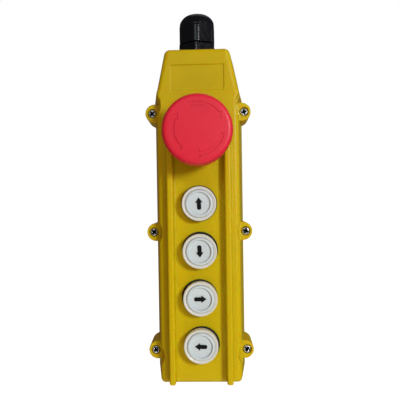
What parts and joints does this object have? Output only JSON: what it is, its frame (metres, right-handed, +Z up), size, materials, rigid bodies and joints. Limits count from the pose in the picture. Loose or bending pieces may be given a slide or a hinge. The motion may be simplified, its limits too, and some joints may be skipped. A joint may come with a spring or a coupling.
{
  "type": "pendant control station",
  "caption": "Hanging hand-held crane pendant: guarded spring-return arrow push buttons below a twist-release mushroom emergency stop, in a screwed yellow enclosure with a cable gland.",
  "frame": {"origin": "on the cable gland's axis, at the middle of its rubber seal, where the cable is held and the station hangs", "axes": "+Z up along the gland, out of its mouth; the buttons face -Y; +X is to the right when facing the buttons"},
  "size_m": [0.066, 0.069, 0.2325],
  "materials": {
    "yellow_plastic": "satin moulded, fine grain",
    "red_plastic": "satin moulded",
    "white_plastic": "semi-gloss",
    "white_cap": "semi-gloss",
    "arrow_black": "satin",
    "black_nylon": "glossy moulded nylon",
    "black_plastic": "satin",
    "grey_plastic": "moulded thermoset",
    "rubber": "matte",
    "plated_steel": "zinc-plated",
    "spring_steel": "drawn wire",
    "brass": "plain"
  },
  "bodies": {
    "enclosure": {"rear_housing": "yellow_plastic", "front_cover": "yellow_plastic", "cover_gasket": "rubber", "cover_screws": "plated_steel", "screw_inserts": "brass", "gland_body": "black_nylon", "gland_washer": "rubber", "gland_locknut": "black_nylon", "gland_seal": "rubber", "gland_cap_nut": "black_nylon", "bezel_gaskets": "rubber", "bezel_nuts": "grey_plastic", "fixed_contacts": "brass", "terminal_screws": "plated_steel", "block_screws": "plated_steel", "carrier_plate": "plated_steel", "carrier_screws": "plated_steel", "stop_collar": "black_plastic", "stop_gasket": "rubber", "stop_nut": "grey_plastic", "contact_block_stop": "grey_plastic", "stop_contacts": "brass", "stop_spring": "spring_steel", "bezel_up": "white_plastic", "contact_block_up": "grey_plastic", "spring_up": "spring_steel", "bezel_down": "white_plastic", "contact_block_down": "grey_plastic", "spring_down": "spring_steel", "bezel_right": "white_plastic", "contact_block_right": "grey_plastic", "spring_right": "spring_steel", "bezel_left": "white_plastic", "contact_block_left": "grey_plastic", "spring_left": "spring_steel"},
    "button_up": {"cap_up": "white_cap", "arrow_up": "arrow_black", "plunger_up": "black_plastic", "bridge_up": "brass"},
    "button_down": {"cap_down": "white_cap", "arrow_down": "arrow_black", "plunger_down": "black_plastic", "bridge_down": "brass"},
    "button_right": {"cap_right": "white_cap", "arrow_right": "arrow_black", "plunger_right": "black_plastic", "bridge_right": "brass"},
    "button_left": {"cap_left": "white_cap", "arrow_left": "arrow_black", "plunger_left": "black_plastic", "bridge_left": "brass"},
    "stop_stem": {"stop_spindle": "grey_plastic", "plunger_stop": "black_plastic", "bridge_stop": "brass"},
    "stop_mushroom": {"stop_head": "red_plastic"}
  },
  "joints": [
    {"name": "press_up", "type": "slide", "parent": "enclosure", "child": "button_up", "axis": [0, 1, 0], "range_m": [0, 0.003], "stiffness_N_per_m": 600, "springref_m": -0.004, "deforming": ["spring_up"]},
    {"name": "press_down", "type": "slide", "parent": "enclosure", "child": "button_down", "axis": [0, 1, 0], "range_m": [0, 0.003], "stiffness_N_per_m": 600, "springref_m": -0.004, "deforming": ["spring_down"]},
    {"name": "press_right", "type": "slide", "parent": "enclosure", "child": "button_right", "axis": [0, 1, 0], "range_m": [0, 0.003], "stiffness_N_per_m": 600, "springref_m": -0.004, "deforming": ["spring_right"]},
    {"name": "press_left", "type": "slide", "parent": "enclosure", "child": "button_left", "axis": [0, 1, 0], "range_m": [0, 0.003], "stiffness_N_per_m": 600, "springref_m": -0.004, "deforming": ["spring_left"]},
    {"name": "stop_push", "type": "slide", "parent": "enclosure", "child": "stop_stem", "axis": [0, 1, 0], "range_m": [0, 0.0045], "deforming": ["stop_spring"]},
    {"name": "stop_twist", "type": "hinge", "parent": "stop_stem", "child": "stop_mushroom", "pos_m": [0, -0.04, -0.066], "axis": [0, 1, 0], "range_deg": [0, 40], "stiffness_Nm_per_rad": 0.05, "springref_deg": -17.19}
  ]
}
